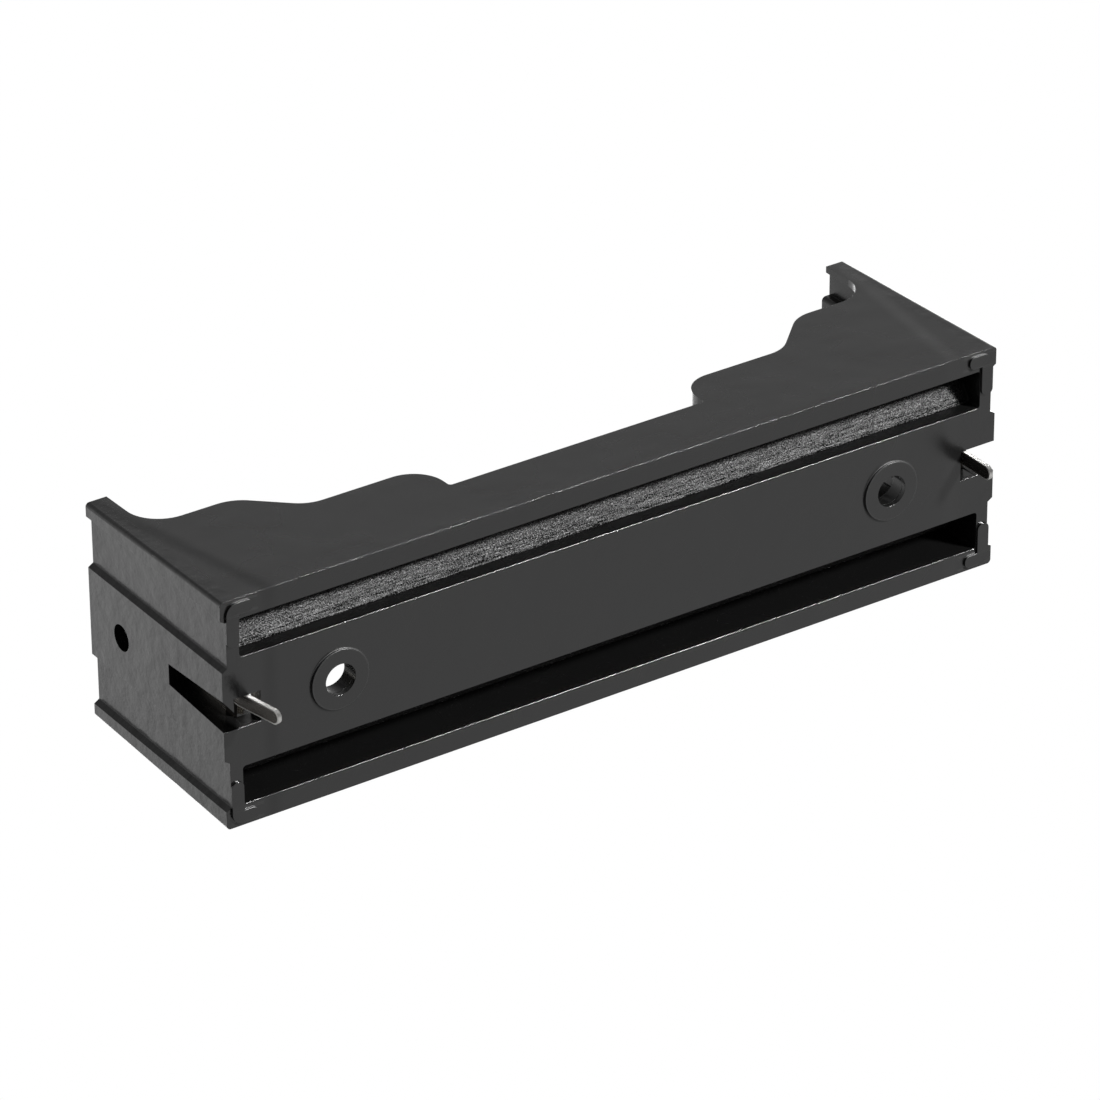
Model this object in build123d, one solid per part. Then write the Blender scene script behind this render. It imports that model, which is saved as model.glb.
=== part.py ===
from build123d import *
import os

# Open holder for one round cell, for screwing or soldering to a board.
# X runs along the cell, Y across it and Z up out of the open side.
# The forms are drawn with Z = 0 in the flat underside and raised at the end,
# so that the finished part stands on the faces of its mounting pads at Z = 0.

# Cell that the holder takes
cell_diameter = 18.4
cell_length = 65.0
cell_fit = 0.1                 # radial room between cell and trough
contact_room = 4.1             # from the cell's end to the end wall
leaf_preload = 1.0             # how far the cell pushes each leaf back

# Outside of the moulding at the underside, and its draft up to the rim
width = 20.8
height = 21.0
end_draft = 0.31
side_draft = 0.43
corner_radius = 0.35

# Walls
end_wall = 1.9                 # thickness at the underside
floor_thickness = 1.5          # under the lowest line of the trough
trough_wall = 1.29
mouth_flare = 0.1              # widening of the bay from mid-height to the rim

# Stepped rim of the side walls: runs inwards from each end, rises from the middle cut
horn_length = 2.3
shoulder_run = 7.93
slope_run = 4.58
shelf_run = 10.99
finger_cut_height = 6.15       # lowest part of the rim, above the underside
shelf_rise = 3.98
shoulder_rise = 4.44
horn_radius = 3.2
shoulder_radius = 3.5
shelf_radius = 3.25
finger_radius = 3.0
finger_foot_radius = 0.3

# Relief in the outside of each end wall, between two flanges and a middle band
relief_depth = 0.48
relief_slope = 0.3             # width of the slanted step at each side
flange_width = 1.65
band_width = 8.1

# Cored pockets under the trough, open at the underside
strip_width = 10.0
pocket_rim = 1.9               # land outside the pocket, along the side
pocket_end_rim = 1.65          # land outside the pocket, along the end
pocket_corner_radius = 0.3

# Mounting screws and pads
screw_spacing = 55.1
screw_hole_radius = 1.42
screw_pad_radius = 2.72
pad_height = 0.2
foot_width = 1.15
foot_end_offset = 0.45
foot_side_offset = 0.3
foot_length_x = 2.9            # reach of each L-shaped foot from the end
foot_length_y = 4.2            # reach of each L-shaped foot from the side

# Pin slot in each end wall and notch in the floor behind it
slot_width_foot = 2.8
slot_width_head = 1.9
slot_height = 8.45
notch_length = 3.5
barb_length = 1.0              # wedge at the corner of the left notch
barb_reach = 1.25
peep_hole_radius = 1.17
peep_hole_height = 15.95
peep_hole_offset = 0.2

# Hooked ribs that grip the edges of each contact
hook_outer = 7.2               # distance from the middle to the rib's outer face
hook_web = 0.6
hook_lip = 0.45
hook_reach = 0.7               # how far the lip covers the contact's edge
hook_radius = 0.4
hook_top_gap = 0.1             # rib ends this far under the rim

# Contacts, folded from nickel-plated spring strip
strip_thickness = 0.36
strip_clearance = 0.03
plate_height = 18.4            # top of the back plate above the underside
leaf_width = 6.0
leaf_fold_depth = 1.7
leaf_fold_radius = 0.7
leaf_bow_radius = 4.0
leaf_pad_length = 3.0          # upright stretch that touches the cell
leaf_foot_depth = 1.3
leaf_foot_height = 5.4
leaf_toe_depth = 2.3
leaf_toe_height = 4.1
leaf_toe_radius = 0.7
pin_width = 1.28
pin_reach = 3.7                # length of each pin below the underside
pin_side_gap = 0.06            # room between pin and notch
pin_bend_radius = 0.5
pin_notch_gap = 0.2            # from the notch's inner end to the right pin
pin_lean = 0.19                # inward drift of the left pin per unit of drop
pin_lean_height = 0.9          # where that lean starts, above the underside
pin_lean_radius = 2.0

# Values that follow from the ones above
length = cell_length + 2 * (contact_room + end_wall)
half_length = length / 2
half_width = width / 2
trough_radius = cell_diameter / 2 + cell_fit
axis_height = floor_thickness + trough_radius
bay_end = half_length - end_wall
mouth_half_width = trough_radius + mouth_flare
overshoot = 1.0                # how far cutting tools run past the walls they cut
horn_x = half_length - horn_length
slope_head_x = horn_x - shoulder_run
slope_foot_x = slope_head_x - slope_run
finger_cut_x = slope_foot_x - shelf_run
shelf_height = finger_cut_height + shelf_rise
shoulder_height = shelf_height + shoulder_rise
plate_face = bay_end - strip_clearance
plate_middle = plate_face - strip_thickness / 2
lip_face = bay_end - strip_thickness - 2 * strip_clearance
hook_face = lip_face - hook_lip
plate_half_width = hook_outer - hook_web - strip_clearance
leaf_pad_middle = cell_length / 2 - leaf_preload + strip_thickness / 2
plate_foot = axis_height - trough_radius + cell_fit
slot_lean = (slot_width_foot - slot_width_head) / 2 / slot_height


def both_ends(shape):
    """The shape at the right end together with its twin at the left end."""
    return shape + mirror(shape, about=Plane.YZ)


def both_sides(shape):
    """The shape at the +Y side together with its twin at the -Y side."""
    return shape + mirror(shape, about=Plane.XZ)


def make_block():
    """Drafted outer block with softened upright corners."""
    foot = Rectangle(length, width)
    rim = Plane.XY.offset(height) * Rectangle(length - 2 * end_draft, width - 2 * side_draft)
    block = loft([foot, rim])
    upright = [edge for edge in block.edges() if abs((edge % 0.5).Z) > 0.9]
    return fillet(upright, corner_radius)


def make_bay():
    """Room for the cell: round below the cell's axis, nearly straight above it."""
    top = height + overshoot
    bottom_arc = ThreePointArc(
        (-trough_radius, axis_height), (0, floor_thickness), (trough_radius, axis_height)
    )
    sides = Polyline(
        (trough_radius, axis_height), (mouth_half_width, top),
        (-mouth_half_width, top), (-trough_radius, axis_height),
    )
    section = make_face(Plane.YZ * (bottom_arc + sides))
    return extrude(section, amount=bay_end, both=True)


def make_rim_cut():
    """Everything above the stepped outline of the side walls."""
    top = height + overshoot
    half_outline = FilletPolyline(
        (0, finger_cut_height),
        (finger_cut_x, finger_cut_height),
        (finger_cut_x, shelf_height),
        (slope_foot_x, shelf_height),
        (slope_head_x, shoulder_height),
        (horn_x, shoulder_height),
        (horn_x, top),
        radius=[finger_foot_radius, finger_radius, shelf_radius, shoulder_radius, horn_radius],
    )
    outline = half_outline + mirror(half_outline, about=Plane.YZ) + Line((horn_x, top), (-horn_x, top))
    return extrude(make_face(Plane.XZ * outline), amount=half_width + overshoot, both=True)


def make_hooks():
    """Upright ribs with a lip, two at each end, that the contacts slide into."""
    web_inner = hook_outer - hook_web
    outline = Polyline(
        (bay_end + overshoot, hook_outer), (hook_face, hook_outer),
        (hook_face, web_inner - hook_reach), (lip_face, web_inner - hook_reach),
        (lip_face, web_inner), (bay_end + overshoot, web_inner), close=True,
    )
    section = make_face(outline)
    rounded = [v for v in section.vertices() if abs(v.X - hook_face) < 1e-6 and v.Y > web_inner]
    section = fillet(rounded, hook_radius)
    rib_top = height - hook_top_gap
    rib = extrude(Pos(0, 0, floor_thickness) * section, amount=rib_top - floor_thickness)
    return both_ends(both_sides(rib))


def make_pockets():
    """Two long pockets between the outside of the trough and the side walls."""
    outer_edge = half_width - pocket_rim
    pocket_width = outer_edge - strip_width / 2
    pocket_length = length - 2 * pocket_end_rim
    middle = strip_width / 2 + pocket_width / 2
    block = Pos(0, middle, axis_height / 2) * Box(
        pocket_length, pocket_width, axis_height + 2 * overshoot
    )
    block = fillet(block.edges().filter_by(Axis.Z), pocket_corner_radius)
    trough = Pos(0, 0, axis_height) * Rot(0, 90, 0) * Cylinder(trough_radius + trough_wall, length)
    below = Pos(0, 0, axis_height / 2 - overshoot) * Box(length, width, axis_height + 2 * overshoot)
    return both_sides((block & below) - trough)


def make_relief():
    """Shallow sunk panels in the outside of both end walls, leaning with the draft."""
    edge = half_width - flange_width
    band = band_width / 2
    floor_x = half_length - relief_depth
    outline = Polyline(
        (half_length, edge), (floor_x, edge - relief_slope), (floor_x, band + relief_slope),
        (half_length, band), (half_length + overshoot, band), (half_length + overshoot, edge),
        close=True,
    )
    lean = Vector(-end_draft, 0, height)
    start = Pos(lean * (-overshoot / height))
    panel = extrude(
        start * make_face(outline), amount=lean.length * (1 + 2 * overshoot / height), dir=lean.normalized()
    )
    return both_ends(both_sides(panel))


def make_slots():
    """Tapered slot through each end wall, floor notch behind it and the peep hole."""
    foot = slot_width_foot / 2 + slot_lean * overshoot
    head = slot_width_head / 2
    slot_outline = Polyline(
        (-foot, -overshoot), (-head, slot_height), (head, slot_height), (foot, -overshoot), close=True
    )
    through_wall = Plane.YZ.offset(bay_end - overshoot)
    cut_length = end_wall + 2 * overshoot
    slot = extrude(through_wall * make_face(slot_outline), amount=cut_length)
    peep_hole = extrude(
        through_wall * Pos(peep_hole_offset, peep_hole_height) * Circle(peep_hole_radius), amount=cut_length
    )
    notch = Pos(half_length - notch_length, 0, -overshoot) * Box(
        notch_length - end_wall, slot_width_foot, floor_thickness + 2 * overshoot,
        align=(Align.MIN, Align.CENTER, Align.MIN),
    )
    return both_ends(slot + notch + peep_hole)


def make_barb():
    """Small wedge at the outer corner of the left notch."""
    foot = slot_width_foot / 2
    outline = Polyline(
        (-half_length, -foot), (-half_length + barb_length, -foot),
        (-half_length + barb_length, -foot + barb_reach), close=True,
    )
    return extrude(make_face(outline), amount=floor_thickness)


def make_pads():
    """Round pads at the screws and L-shaped feet at the corners of the underside."""
    reach_x = foot_length_x - foot_end_offset
    reach_y = foot_length_y - foot_side_offset
    corner = Rectangle(reach_x, foot_width, align=Align.MIN) + Rectangle(foot_width, reach_y, align=Align.MIN)
    tips = [v for v in corner.vertices() if v.X > reach_x - 1e-6 or v.Y > reach_y - 1e-6]
    corner = fillet(tips, foot_width * 0.45)
    heel = [v for v in corner.vertices() if v.X < 1e-6 and v.Y < 1e-6]
    corner = fillet(heel, foot_width * 0.9)
    foot_at = Pos(-half_length + foot_end_offset, -half_width + foot_side_offset, 0)
    foot = extrude(foot_at * corner, amount=-pad_height)
    screw_pad = Pos(screw_spacing / 2, 0, -pad_height) * Cylinder(
        screw_pad_radius, pad_height, align=(Align.CENTER, Align.CENTER, Align.MIN)
    )
    return both_ends(both_sides(foot)) + both_ends(screw_pad)


def make_housing():
    """The one-piece moulded tray."""
    tray = make_block() - make_bay() - make_rim_cut()
    tray = tray + make_hooks() - make_pockets() - make_relief() - make_slots()
    tray = tray + make_barb() + make_pads()
    screw_hole = Pos(screw_spacing / 2, 0, 0) * Cylinder(screw_hole_radius, 4 * floor_thickness)
    return tray - both_ends(screw_hole)


def strip_along(path, strip_width_here, across):
    """Flat strip swept along a path, its width lying in the given direction."""
    section_plane = Plane(origin=path @ 0, x_dir=across, z_dir=path % 0)
    return sweep(section_plane * Rectangle(strip_width_here, strip_thickness), path=path)


def make_pin(points, bend_radius):
    """Tab of the plate bent along points given in X and Z, with a round end."""
    side = -slot_width_foot / 2 + pin_side_gap + pin_width / 2
    path = Pos(0, side, 0) * (Plane.XZ * FilletPolyline(*points, radius=bend_radius))
    pin = strip_along(path, pin_width, (0, 1, 0))
    low = pin.bounding_box().min.Z
    corners = [
        edge for edge in pin.edges().filter_by(GeomType.LINE)
        if (edge @ 0.5).Z < low + strip_thickness / 2 and edge.length < strip_thickness * 1.2
    ]
    return fillet(corners, pin_width * 0.45)


def make_plate_and_leaf():
    """Back plate between the hooks, folded over at the top into a bowed leaf."""
    plate = extrude(
        Plane.YZ.offset(plate_face - strip_thickness) * Rectangle(
            2 * plate_half_width, plate_height, align=(Align.CENTER, Align.MIN)
        ),
        amount=strip_thickness,
    )
    trough = Pos(0, 0, axis_height) * Rot(0, 90, 0) * Cylinder(trough_radius - cell_fit, length)
    above = Pos(0, 0, axis_height) * Box(
        length, 2 * plate_half_width, height, align=(Align.CENTER, Align.CENTER, Align.MIN)
    )
    plate = (plate & trough) + (plate & above)
    fold_top = plate_height + leaf_fold_radius
    path = Plane.XZ * FilletPolyline(
        (plate_middle, axis_height),
        (plate_middle, fold_top),
        (plate_middle - leaf_fold_depth, fold_top),
        (leaf_pad_middle, axis_height + leaf_pad_length / 2),
        (leaf_pad_middle, axis_height - leaf_pad_length / 2),
        (plate_middle - leaf_foot_depth, leaf_foot_height),
        (plate_middle - leaf_toe_depth, leaf_toe_height),
        radius=[leaf_fold_radius, leaf_fold_radius, leaf_bow_radius, leaf_bow_radius, leaf_toe_radius],
    )
    leaf = strip_along(path, leaf_width, (0, 1, 0))
    return plate + leaf


def make_positive_contact():
    """Right contact: its pin steps in from the plate and runs straight down."""
    pin_x = half_length - notch_length + pin_notch_gap + strip_thickness / 2
    return make_plate_and_leaf() + make_pin([
        (plate_middle, plate_foot + 3 * pin_bend_radius),
        (plate_middle, plate_foot + pin_bend_radius),
        (pin_x, floor_thickness / 2),
        (pin_x, -pin_reach),
    ], pin_bend_radius)


def make_negative_contact():
    """Left contact: its pin runs on from the plate and leans in towards the cell."""
    tip_x = plate_middle - pin_lean * (pin_lean_height + pin_reach)
    contact = make_plate_and_leaf() + make_pin([
        (plate_middle, plate_foot + 3 * pin_bend_radius),
        (plate_middle, pin_lean_height),
        (tip_x, -pin_reach),
    ], pin_lean_radius)
    return mirror(contact, about=Plane.YZ)


os.makedirs("parts", exist_ok=True)
nodes = {
    "housing": make_housing(),
    "negative_contact": make_negative_contact(),
    "positive_contact": make_positive_contact(),
}
for name, shape in nodes.items():
    export_step(Pos(0, 0, pad_height) * shape, f"parts/{name}.step")
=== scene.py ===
import math

import bpy
from mathutils import Matrix, Vector


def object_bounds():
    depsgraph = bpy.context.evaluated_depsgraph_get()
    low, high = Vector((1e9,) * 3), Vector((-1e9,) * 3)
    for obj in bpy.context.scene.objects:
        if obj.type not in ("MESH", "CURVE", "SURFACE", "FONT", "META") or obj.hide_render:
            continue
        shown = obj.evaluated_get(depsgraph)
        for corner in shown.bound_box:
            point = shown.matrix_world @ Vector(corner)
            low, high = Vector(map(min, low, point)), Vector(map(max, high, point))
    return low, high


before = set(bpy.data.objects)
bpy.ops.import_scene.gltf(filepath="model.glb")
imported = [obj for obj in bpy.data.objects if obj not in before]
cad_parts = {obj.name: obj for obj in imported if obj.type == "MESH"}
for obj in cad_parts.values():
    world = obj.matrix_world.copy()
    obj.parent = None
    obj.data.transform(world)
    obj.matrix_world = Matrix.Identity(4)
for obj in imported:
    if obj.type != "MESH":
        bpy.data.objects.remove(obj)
cad_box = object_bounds()

MM = 0.001

# Places on the moulding that its finishes follow, in millimetres
TROUGH_RADIUS = 10.59          # outside of the trough
TROUGH_AXIS = 11.0             # height of its axis
GRAIN_REACH = 9.0              # its grained skin lies within this distance of the middle plane
GRAIN_END = 36.5               # and within this distance of the middle of its length
LOW_SKIN = (5.0, 6.4)          # the drag lines on it fade between these distances from the plane
WINDOW_WALL = 5.0              # the windows' inner walls, from the middle plane
WINDOW_WALL_MIDDLE = 1.0       # height of these walls' middle lines
WINDOW_WALL_HALF = 0.72        # half of their height
POCKET_WALL = 8.5              # the windows' outer walls, from the middle plane
POCKET_MIDDLE = 3.3            # height of these walls' middle lines
POCKET_HALF = 2.9              # half of their height, short of the rounded edge below
OUTER_EDGE = 9.5               # the side walls' outer edges lie beyond this
END_FACE = 37.0                # the end walls' outer faces lie beyond this
HOLE_MIDDLE = 27.55            # X of the screw holes
PAD_RADIUS = 2.72              # round pads about them
PAD_TOP = 0.3                  # edges of the pads and corner feet lie below this height
FEET_MIDDLE = 9.525            # Y of the corner feet's arms along the sides
FEET_HALF = 0.575              # half of their width
FEET_START = 35.0              # the feet lie further out than this
STEP_REACH = 0.12              # the pads' and feet's softened edges reach this far on either side
SINK_SPAN = (32.9, 35.1)       # the side walls sink between these distances from the middle
SINK_LEAN = 0.17               # and further out by this much per millimetre of height
MASK_DEPTH = 0.03              # a finish reaches this far off the surface that it belongs to

# Places on the contacts, in millimetres too
PIN_MIDDLE = -0.70             # Y of both pins' middle lines
PIN_HALF = 0.64                # half of their width
PIN_TIP = -3.5                 # height of their tips
PIN_ROOT = 1.7                 # they hang from the contacts' feet at this height
FOOT_TOP = 3.0                 # the feet lie below this
# The pins' sheared rims are rougher and carry a painted highlight, full along their sides and
# brightest at the tips
RIM_SPAN = (0.12, 0.06)        # a pin's sheared rim begins and is full this far in from its edge
TIP_SPAN = (0.6, 1.2)          # heights above the tip between which the rim fades
SIDE_SHARE = 0.75              # to this share, which it has along the pin's sides

# Widths and depths of the patterns in the finishes, in millimetres
WAVE_WIDTH = 6.25              # uneven polish of the mould
WAVE_DEPTH = 0.06
MOTTLE_WIDTH = 1 / 0.55        # 1.8, the same on the end walls
MOTTLE_DEPTH = 0.05
SINK_DEPTH = 0.09
DRAG_LENGTH = 2.5              # drag lines from the mould, along the trough
DRAG_WIDTH = 0.125

# Patterns that are too fine to show at their real width, so they are drawn as coarse as this
SATIN_WIDTH = 1 / 9            # 0.11, really a few hundredths
SATIN_DEPTH = 0.0025
GRIT_WIDTH = 1 / 6.5           # 0.15, really about 0.05, as spark erosion leaves it
GRIT_DEPTH = 0.22
GLINT_WIDTH = 1 / 9            # the grit's tips
ROLLING_WIDTH = 1 / 9          # lines along the strip, really a few hundredths
ROLLING_LENGTH = 1 / 0.6       # 1.7
ROLLING_DEPTH = 0.01

# Edge radii, in metres
MOULDED_EDGE = 0.04 * MM
OUTER_SHARPER = -0.02 * MM     # the side walls' outer edges differ by this
STEP_SOFTER = 0.04 * MM        # and those of the pads and feet by this
STAMPED_EDGE = 0.05 * MM
EDGE_SAMPLES = 8               # rays that find the faces beside an edge

# Colours
ABS_BLACK = "#050505"
NICKEL = "#c8c4bc"
# Pins painted darker, standing in for the dark surroundings that their faces reflect
PIN_PAINTED_DARK = "#706d69"
# Painted shade on the contacts' feet in the notches, which keeps bounced light from showing on
# them
FOOT_PAINTED_SHADE = "#34322f"
# Painted highlight on the pins' sheared rims
RIM_PAINTED_HIGHLIGHT = "#e6e5e2"
PAPER = "#f4f4f4"
WHITE = (1, 1, 1, 1)

# Roughness of each metal or plastic, and by how much its parts differ from it
ABS_ROUGH = 0.22
WAVE_ROUGH = 0.1               # at most, with the mould's uneven polish
END_ROUGH = -0.09
SKIN_ROUGH = 0.18
STEP_ROUGH = 0.2
STRIP_ROUGH = 0.18
ROLLING_ROUGH = 0.15           # at most, with the rolling lines
RIM_ROUGH = 0.25
FOOT_ROUGH = 0.5

# Specular level of the plastic, and by how much its parts differ from it
ABS_IOR = 1.5
ABS_SHEEN = 0.5
# Less reflection on the windows' walls, a painted shade in these recesses
WALL_PAINTED_SHADE = -0.4
GLINT_SPAN = (0.34, 0.7)       # levels of the glints' noise at which its sheen is least and most
GLINT_SHEEN = (-0.35, 0.5)
DRAG_SPAN = (0.35, 0.65)       # the same for the drag lines
DRAG_SHEEN = (-0.55, 0.25)
DRAG_SHARES = (1.0, 0.2)       # how strongly they show low on the skin and high on it

# Camera as the photograph was taken: from under the holder, nearly in its long diagonal
LOOK_AT = Vector((-0.372, 1.325, 10.068)) * MM
CAMERA_DISTANCE = 561.07 * MM
CAMERA_AZIMUTH = -45.512       # from straight in front of the long side, towards +X
CAMERA_ELEVATION = -46.357     # below the horizon
CAMERA_ROLL = -54.989
FOCAL_LENGTH = 220.72          # millimetres
SENSOR_WIDTH = 36              # millimetres
CLIP = (0.01, 20)              # metres between which it sees

# Studio in reflections: a dim room, one soft box, and the white table past the open side
ROOM_LEVELS = ((-0.6, 0.06), (-0.25, 0.45), (0.2, 0.45), (0.45, 0.2))   # by Z of directions
BOX_LEVEL = 0.84
BOX_PLACE = (0.492, 0.484, -0.724)      # direction of its middle
BOX_RIM = (0.87, 0.98)         # cosines of the angles at which its light begins and is full
TABLE_LEVEL = 0.825            # at Y 0 of directions
TABLE_RISE = 0.775             # how much brighter per unit of Y
TABLE_LEAST = 0.2              # it is nowhere darker
TABLE_SHADE = (-0.28, -0.20)   # Y less Z where the table's shaded side begins and ends
TABLE_DARK = 0.62              # share of the level that it has there
TABLE_EDGE = (0.6, 0.7)        # Z of directions in which the room gives way to the table
FILL_LEVEL = 0.7               # even light on what isn't a reflection
FLOOR_DROP = 0.05 * MM         # the floor lies this far below the pins
FLOOR_HALF = 3.0               # metres
SWEEP = (0.07, 0.22)           # distances, in metres, between which the paper turns plain white

# Sockets of the Mix node, whose names repeat
FACTOR = 0
FLOAT_A, FLOAT_B = 2, 3
COLOUR_A, COLOUR_B = 6, 7
MIXED_COLOUR = 2


def linear(hex_colour):
    """Linear RGBA of an sRGB hex colour."""
    channels = [int(hex_colour[i:i + 2], 16) / 255 for i in (1, 3, 5)]
    rgb = [c / 12.92 if c <= 0.04045 else ((c + 0.055) / 1.055) ** 2.4 for c in channels]
    return (*rgb, 1.0)


def add(tree, kind, inputs=(), **settings):
    """A node of that kind with its settings, and its inputs set to values or linked.

    The inputs are given in their order, or by name or number in a dict. A link comes from
    a socket, or from a node's first output.
    """
    node = tree.nodes.new("ShaderNode" + kind)
    for name, value in settings.items():
        setattr(node, name, value)
    for name, value in inputs.items() if isinstance(inputs, dict) else enumerate(inputs):
        if isinstance(value, bpy.types.Node):
            value = value.outputs[0]
        if isinstance(value, bpy.types.NodeSocket):
            tree.links.new(value, node.inputs[name])
        else:
            node.inputs[name].default_value = value
    return node


def new_material(name):
    """An empty node material."""
    material = bpy.data.materials.new(name)
    material.use_nodes = True
    material.node_tree.nodes.clear()
    return material


def direction(azimuth, elevation):
    """Unit vector from the object towards a camera or lamp there."""
    a = math.radians(azimuth)
    e = math.radians(elevation)
    return Vector((math.sin(a) * math.cos(e), -math.cos(a) * math.cos(e), math.sin(e)))


def place_camera():
    """Camera at the photograph's place, turned about its own axis as the photograph is."""
    back = direction(CAMERA_AZIMUTH, CAMERA_ELEVATION)
    right = Vector((0, 0, 1)).cross(back).normalized()
    up = back.cross(right)
    roll = Matrix.Rotation(math.radians(CAMERA_ROLL), 3, back)
    right = roll @ right
    up = roll @ up
    data = bpy.data.cameras.new("camera")
    data.lens = FOCAL_LENGTH
    data.sensor_width = SENSOR_WIDTH
    data.clip_start, data.clip_end = CLIP
    camera = bpy.data.objects.new("camera", data)
    camera.matrix_world = Matrix.Translation(LOOK_AT + back * CAMERA_DISTANCE) @ Matrix(
        (right, up, back)
    ).transposed().to_4x4()
    bpy.context.scene.collection.objects.link(camera)
    bpy.context.scene.camera = camera


def add_lamp(name, azimuth, elevation, distance, size, power, only=None):
    """Soft square lamp that faces the middle of the holder. A node that is named gets it alone."""
    data = bpy.data.lights.new(name, "AREA")
    data.shape = "SQUARE"
    data.size = size
    data.energy = power
    lamp = bpy.data.objects.new(name, data)
    towards = direction(azimuth, elevation)
    lamp.matrix_world = Matrix.Translation(LOOK_AT + towards * distance) @ towards.to_track_quat(
        "Z", "Y"
    ).to_matrix().to_4x4()
    bpy.context.scene.collection.objects.link(lamp)
    if only is not None:
        lit = bpy.data.collections.new(name + "_receivers")
        lit.objects.link(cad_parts[only])
        lamp.light_linking.receiver_collection = lit


def room_and_table(tree):
    """Level of the light that comes from each direction, as reflections show it."""
    place = add(tree, "TexCoord").outputs["Generated"]
    axes = add(tree, "SeparateXYZ", (place,))
    # The ramp runs from straight down at 0 to straight up at 1
    height = add(tree, "Math", (axes.outputs["Z"], 0.5, 0.5), operation="MULTIPLY_ADD")
    ramp = add(tree, "ValToRGB", (height,))
    stops = ramp.color_ramp.elements
    while len(stops) < len(ROOM_LEVELS):
        stops.new(0.5)
    for stop, (z, grey) in zip(stops, ROOM_LEVELS):
        stop.position = z / 2 + 0.5
        stop.color = (grey, grey, grey, 1)
    nearness = add(tree, "VectorMath", (place, BOX_PLACE), operation="DOT_PRODUCT")
    room = add(tree, "MapRange", {
        "Value": nearness.outputs["Value"], "From Min": BOX_RIM[0], "From Max": BOX_RIM[1],
        "To Min": ramp, "To Max": BOX_LEVEL}, interpolation_type="SMOOTHSTEP")

    slope = add(tree, "Math", (
        axes.outputs["Y"], TABLE_RISE, TABLE_LEVEL), operation="MULTIPLY_ADD")
    side = add(tree, "Math", (axes.outputs["Y"], axes.outputs["Z"]), operation="SUBTRACT")
    shade = add(tree, "MapRange", {
        "Value": side, "From Min": TABLE_SHADE[0], "From Max": TABLE_SHADE[1],
        "To Min": 1.0, "To Max": TABLE_DARK})
    shaded = add(tree, "Math", (slope, shade), operation="MULTIPLY")
    table = add(tree, "Math", (shaded, TABLE_LEAST), operation="MAXIMUM")
    edge = add(tree, "MapRange", {
        "Value": axes.outputs["Z"], "From Min": TABLE_EDGE[0], "From Max": TABLE_EDGE[1],
    }, interpolation_type="SMOOTHSTEP")
    return add(tree, "Mix", {FACTOR: edge, FLOAT_A: room, FLOAT_B: table}, data_type="FLOAT")


def light_studio():
    """White surroundings to the eye, a room and a table in reflections, and the lamps."""
    world = bpy.data.worlds.new("studio")
    bpy.context.scene.world = world
    world.use_nodes = True
    tree = world.node_tree
    tree.nodes.clear()
    path = add(tree, "LightPath")
    direct = add(tree, "Math", (
        path.outputs["Is Camera Ray"], path.outputs["Is Transmission Ray"]), operation="MAXIMUM")
    white = add(tree, "Background", {"Color": WHITE, "Strength": 1.0})
    mirrored = add(tree, "Background", {"Color": WHITE, "Strength": room_and_table(tree)})
    fill = add(tree, "Background", {"Color": WHITE, "Strength": FILL_LEVEL})
    soft = add(tree, "MixShader", (path.outputs["Is Glossy Ray"], fill, mirrored))
    shown = add(tree, "MixShader", (direct, soft, white))
    add(tree, "OutputWorld", {"Surface": shown})
    add_lamp(
        "edge_light", azimuth=40.8, elevation=-41.1, distance=0.7, size=0.09, power=28.0,
        only="housing")
    add_lamp("high_light", azimuth=130, elevation=55, distance=0.9, size=0.7, power=4.5)


def lay_floor(level):
    """White floor just under the pins. The camera sees it, with its shadow, from above only."""
    mesh = bpy.data.meshes.new("floor")
    corners = [
        (x * FLOOR_HALF, y * FLOOR_HALF, level) for x, y in ((-1, -1), (1, -1), (1, 1), (-1, 1))]
    mesh.from_pydata(corners, [], [(0, 1, 2, 3)])
    floor = bpy.data.objects.new("floor", mesh)
    bpy.context.scene.collection.objects.link(floor)
    material = new_material("white_paper_sweep")
    tree = material.node_tree
    path = add(tree, "LightPath")
    side = add(tree, "NewGeometry")
    front = add(tree, "Math", (1.0, side.outputs["Backfacing"]), operation="SUBTRACT")
    shown = add(tree, "Math", (front, path.outputs["Is Camera Ray"]), operation="MULTIPLY")
    place = add(tree, "TexCoord").outputs["Object"]
    away = add(tree, "VectorMath", (place,), operation="LENGTH")
    far = add(tree, "MapRange", {
        "Value": away.outputs["Value"], "From Min": SWEEP[0], "From Max": SWEEP[1],
    }, interpolation_type="SMOOTHSTEP")
    paper = add(tree, "BsdfDiffuse", {"Color": linear(PAPER)})
    white = add(tree, "Emission", {"Color": WHITE, "Strength": 1.0})
    sweep = add(tree, "MixShader", (far, paper, white))
    clear = add(tree, "BsdfTransparent")
    add(tree, "OutputMaterial", {"Surface": add(tree, "MixShader", (shown, clear, sweep))})
    mesh.materials.append(material)


def place_in_mm(tree):
    """Object coordinates in millimetres."""
    return add(tree, "Mapping", {
        "Vector": add(tree, "TexCoord").outputs["Object"], "Scale": (1 / MM, 1 / MM, 1 / MM)})


def on_trough_skin(tree, place, axes):
    """1 on the outside of the trough, 0 elsewhere."""
    spoke = add(tree, "Mapping", {
        "Vector": place, "Location": (0, 0, -TROUGH_AXIS), "Scale": (0, 1, 1)})
    radius = add(tree, "VectorMath", (spoke,), operation="LENGTH").outputs["Value"]
    skin = add(tree, "Math", (radius, TROUGH_RADIUS, MASK_DEPTH), operation="COMPARE")
    inside = add(tree, "Math", (axes.outputs["Y"], 0.0, GRAIN_REACH), operation="COMPARE")
    between = add(tree, "Math", (axes.outputs["X"], 0.0, GRAIN_END), operation="COMPARE")
    inner = add(tree, "Math", (inside, between), operation="MULTIPLY")
    return add(tree, "Math", (skin, inner), operation="MULTIPLY")


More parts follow.
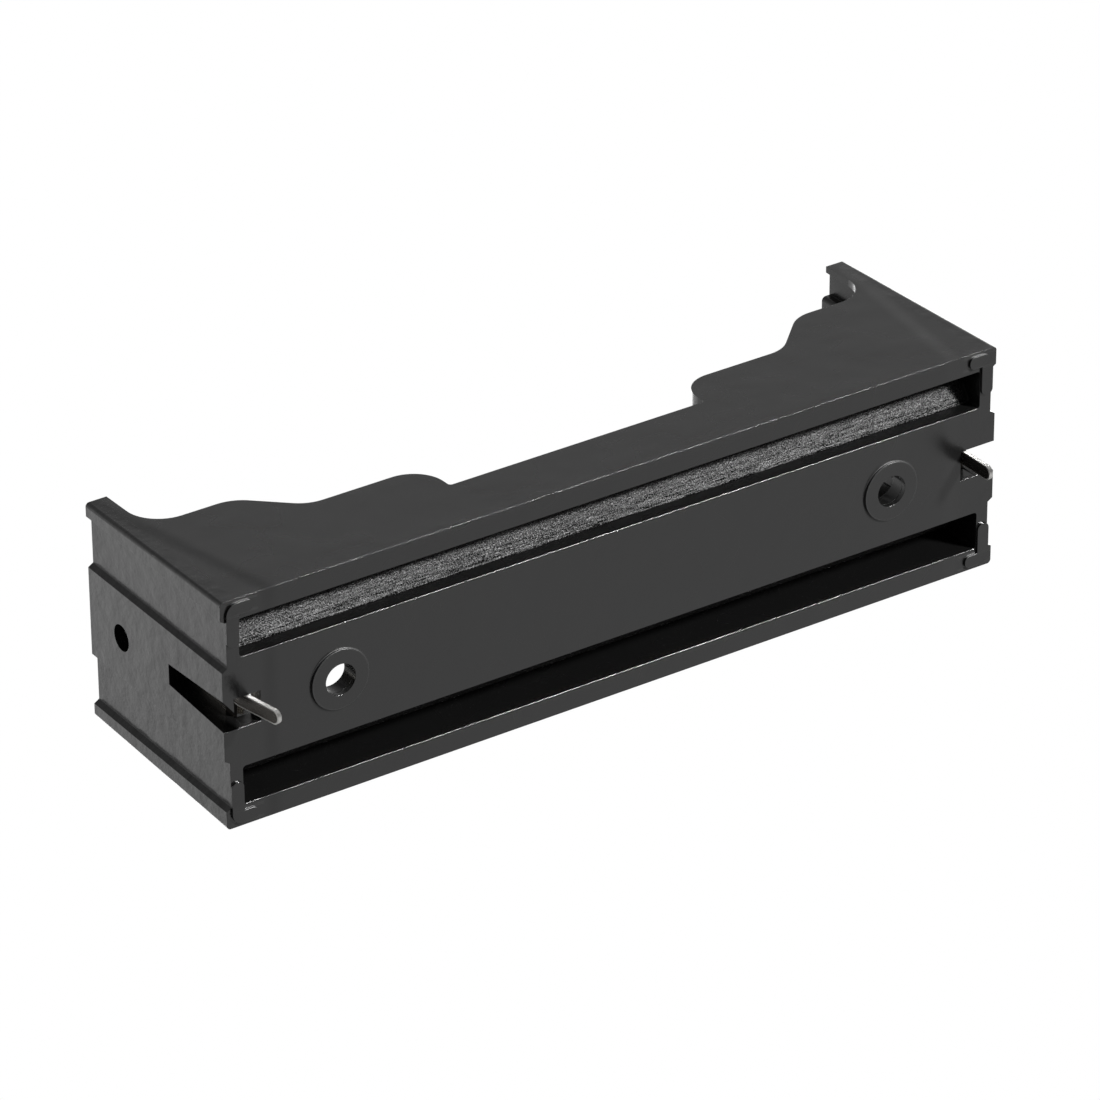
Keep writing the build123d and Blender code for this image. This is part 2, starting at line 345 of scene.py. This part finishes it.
def on_window_walls(tree, axes, sideways):
    """1 on the windows' walls beside the trough and on those opposite, 0 elsewhere."""
    between = add(tree, "Math", (axes.outputs["X"], 0.0, GRAIN_END), operation="COMPARE")
    walls = 0.0
    for wall_place, middle, half in (
            (WINDOW_WALL, WINDOW_WALL_MIDDLE, WINDOW_WALL_HALF),
            (POCKET_WALL, POCKET_MIDDLE, POCKET_HALF)):
        wall = add(tree, "Math", (sideways, wall_place, MASK_DEPTH), operation="COMPARE")
        deep = add(tree, "Math", (axes.outputs["Z"], middle, half), operation="COMPARE")
        inner = add(tree, "Math", (between, deep), operation="MULTIPLY")
        walls = add(tree, "Math", (wall, inner, walls), operation="MULTIPLY_ADD")
    return walls


def on_low_steps(tree, axes, outwards, sideways):
    """1 on the outlines of the screw pads and of the corner feet's arms, 0 elsewhere."""
    off = add(tree, "Math", (outwards, HOLE_MIDDLE), operation="SUBTRACT")
    spoke = add(tree, "CombineXYZ", (off, axes.outputs["Y"]))
    radius = add(tree, "VectorMath", (spoke,), operation="LENGTH").outputs["Value"]
    outline = add(tree, "Math", (radius, PAD_RADIUS, STEP_REACH), operation="COMPARE")
    across = add(tree, "Math", (sideways, FEET_MIDDLE), operation="SUBTRACT")
    across = add(tree, "Math", (across,), operation="ABSOLUTE")
    arm = add(tree, "Math", (across, FEET_HALF, STEP_REACH), operation="COMPARE")
    far = add(tree, "Math", (outwards, FEET_START), operation="GREATER_THAN")
    step = add(tree, "Math", (arm, far, outline), operation="MULTIPLY_ADD")
    low = add(tree, "Math", (axes.outputs["Z"], PAD_TOP), operation="LESS_THAN")
    return add(tree, "Math", (step, low), operation="MULTIPLY")


def side_walls_height(tree, axes, outwards):
    """1 on the side walls, down to 0 where they sink over the thick corners at their ends."""
    lean = add(tree, "Math", (
        axes.outputs["Z"], -SINK_LEAN, outwards), operation="MULTIPLY_ADD")
    return add(tree, "MapRange", {
        "Value": lean, "From Min": SINK_SPAN[0], "From Max": SINK_SPAN[1],
        "To Min": 1.0, "To Max": 0.0}, interpolation_type="SMOOTHERSTEP")


def moulded_edges(tree, sideways, steps):
    """Rounded edges, sharpest along the side walls' outsides and softest on the pads and feet."""
    outer = add(tree, "Math", (sideways, OUTER_EDGE), operation="GREATER_THAN")
    radius = add(tree, "Math", (outer, OUTER_SHARPER, MOULDED_EDGE), operation="MULTIPLY_ADD")
    radius = add(tree, "Math", (steps, STEP_SOFTER, radius), operation="MULTIPLY_ADD")
    return add(tree, "Bevel", {"Radius": radius}, samples=EDGE_SAMPLES)


def moulded_sheen(tree, place, sideways, skin, walls):
    """Specular level: the grit's tips glint among drag lines, and the windows' walls reflect less,
    as painted shade.
    """
    glints = add(tree, "TexNoise", {"Vector": place, "Scale": 1 / GLINT_WIDTH, "Detail": 1.0})
    glitter = add(tree, "MapRange", {
        "Value": glints, "From Min": GLINT_SPAN[0], "From Max": GLINT_SPAN[1],
        "To Min": GLINT_SHEEN[0], "To Max": GLINT_SHEEN[1]})
    along = add(tree, "Mapping", {
        "Vector": place, "Scale": (1 / DRAG_LENGTH, 1 / DRAG_WIDTH, 1 / DRAG_WIDTH)})
    drags = add(tree, "TexNoise", {"Vector": along, "Scale": 1.0, "Detail": 2.0})
    dragged = add(tree, "MapRange", {
        "Value": drags, "From Min": DRAG_SPAN[0], "From Max": DRAG_SPAN[1],
        "To Min": DRAG_SHEEN[0], "To Max": DRAG_SHEEN[1]})
    low = add(tree, "MapRange", {
        "Value": sideways, "From Min": LOW_SKIN[0], "From Max": LOW_SKIN[1],
        "To Min": DRAG_SHARES[0], "To Max": DRAG_SHARES[1]})
    glitter = add(tree, "Math", (dragged, low, glitter), operation="MULTIPLY_ADD")
    # Painted shade: the windows' walls reflect less
    sheen = add(tree, "Math", (walls, WALL_PAINTED_SHADE, ABS_SHEEN), operation="MULTIPLY_ADD")
    return add(tree, "Math", (glitter, skin, sheen), operation="MULTIPLY_ADD")


def black_moulded_abs():
    """Injection-moulded black ABS, from a steel mould that is spark-eroded at the trough.

    The eye sees satin faces, a little uneven, mottled ends, and a grainy trough that glints.
    """
    material = new_material("black_moulded_abs")
    tree = material.node_tree
    place = place_in_mm(tree)
    axes = add(tree, "SeparateXYZ", (place,))
    outwards = add(tree, "Math", (axes.outputs["X"],), operation="ABSOLUTE")
    sideways = add(tree, "Math", (axes.outputs["Y"],), operation="ABSOLUTE")
    skin = on_trough_skin(tree, place, axes)
    walls = on_window_walls(tree, axes, sideways)
    steps = on_low_steps(tree, axes, outwards, sideways)
    ends = add(tree, "Math", (outwards, END_FACE), operation="GREATER_THAN")

    waves = add(tree, "TexNoise", {"Vector": place, "Scale": 1 / WAVE_WIDTH, "Detail": 2.0})
    mottle = add(tree, "TexNoise", {
        "Vector": place, "Scale": 1 / MOTTLE_WIDTH, "Detail": 3.0, "Roughness": 0.6})
    satin = add(tree, "TexNoise", {"Vector": place, "Scale": 1 / SATIN_WIDTH, "Detail": 3.0})
    grit = add(tree, "TexNoise", {
        "Vector": place, "Scale": 1 / GRIT_WIDTH, "Detail": 2.0, "Roughness": 0.6})
    sides = side_walls_height(tree, axes, outwards)
    shape = moulded_edges(tree, sideways, steps)
    for height, depth, share in (
            (waves, WAVE_DEPTH, 1.0), (sides, SINK_DEPTH, 1.0), (mottle, MOTTLE_DEPTH, ends),
            (satin, SATIN_DEPTH, 1.0), (grit, GRIT_DEPTH, skin)):
        shape = add(tree, "Bump", {
            "Height": height, "Distance": depth * MM, "Strength": share, "Normal": shape})

    rough = add(tree, "Math", (waves, WAVE_ROUGH, ABS_ROUGH), operation="MULTIPLY_ADD")
    for zone, extra in ((ends, END_ROUGH), (skin, SKIN_ROUGH), (steps, STEP_ROUGH)):
        rough = add(tree, "Math", (zone, extra, rough), operation="MULTIPLY_ADD")
    sheen = moulded_sheen(tree, place, sideways, skin, walls)
    surface = add(tree, "BsdfPrincipled", {
        "Base Color": linear(ABS_BLACK), "Roughness": rough, "IOR": ABS_IOR,
        "Specular IOR Level": sheen, "Normal": shape})
    add(tree, "OutputMaterial", {"Surface": surface})
    return material


def pin_zones(tree, axes):
    """Up to 1 on the pin's sheared rim, which gets a painted highlight, most at its tip, then 1 on
    the pin, then 1 on its foot.
    """
    z = axes.outputs["Z"]
    across = add(tree, "Math", (axes.outputs["Y"], PIN_MIDDLE), operation="SUBTRACT")
    below = add(tree, "Math", (PIN_TIP + PIN_HALF, z), operation="SUBTRACT")
    past = add(tree, "Math", (below, 0.0), operation="MAXIMUM")
    off = add(tree, "VectorMath", (add(tree, "CombineXYZ", (across, past)),), operation="LENGTH")
    rim = add(tree, "MapRange", {
        "Value": off.outputs["Value"],
        "From Min": PIN_HALF - RIM_SPAN[0], "From Max": PIN_HALF - RIM_SPAN[1]})
    pin = add(tree, "Math", (z, PIN_ROOT), operation="LESS_THAN")
    under = add(tree, "Math", (z, FOOT_TOP), operation="LESS_THAN")
    foot = add(tree, "Math", (under, pin), operation="SUBTRACT")
    bright = add(tree, "MapRange", {
        "Value": z, "From Min": PIN_TIP + TIP_SPAN[0], "From Max": PIN_TIP + TIP_SPAN[1],
        "To Min": 1.0, "To Max": SIDE_SHARE})
    bright = add(tree, "Math", (bright, pin), operation="MULTIPLY")
    return add(tree, "Math", (rim, bright), operation="MULTIPLY"), pin, foot


def nickel_plated_strip():
    """Nickel over rolled spring strip, cut in a press.

    The eye sees faint lines along the strip, pins painted darker in place of the dark surroundings
    that they reflect, painted shade on their feet, and a painted highlight on their sheared rims.
    """
    material = new_material("nickel_plated_strip")
    tree = material.node_tree
    place = place_in_mm(tree)
    rim, pin, foot = pin_zones(tree, add(tree, "SeparateXYZ", (place,)))
    along = add(tree, "Mapping", {
        "Vector": place, "Scale": (1 / ROLLING_WIDTH, 1 / ROLLING_WIDTH, 1 / ROLLING_LENGTH)})
    lines = add(tree, "TexNoise", {"Vector": along, "Scale": 1.0, "Detail": 3.0})
    edges = add(tree, "Bevel", {"Radius": STAMPED_EDGE}, samples=EDGE_SAMPLES)
    shape = add(tree, "Bump", {
        "Height": lines, "Distance": ROLLING_DEPTH * MM, "Strength": 1.0, "Normal": edges})
    rough = add(tree, "Math", (lines, ROLLING_ROUGH, STRIP_ROUGH), operation="MULTIPLY_ADD")
    for share, extra in ((rim, RIM_ROUGH), (foot, FOOT_ROUGH)):
        rough = add(tree, "Math", (share, extra, rough), operation="MULTIPLY_ADD")
    colour = linear(NICKEL)
    # Painted shade on the feet, pins painted darker as a dark reflection, and a painted highlight
    # on the rims
    for share, tone in ((foot, FOOT_PAINTED_SHADE), (pin, PIN_PAINTED_DARK), (rim, RIM_PAINTED_HIGHLIGHT)):
        mixed = add(tree, "Mix", {
            FACTOR: share, COLOUR_A: colour, COLOUR_B: linear(tone)}, data_type="RGBA")
        colour = mixed.outputs[MIXED_COLOUR]
    surface = add(tree, "BsdfPrincipled", {
        "Base Color": colour, "Metallic": 1.0, "Roughness": rough, "Normal": shape})
    add(tree, "OutputMaterial", {"Surface": surface})
    return material


def dress(node_name, material):
    """Give a frame node its material."""
    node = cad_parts[node_name]
    node.data.materials.clear()
    node.data.materials.append(material)


bpy.context.scene.view_settings.view_transform = "Standard"
place_camera()
light_studio()
lay_floor(cad_box[0][2] - FLOOR_DROP)
dress("housing", black_moulded_abs())
nickel = nickel_plated_strip()
dress("negative_contact", nickel)
dress("positive_contact", nickel)
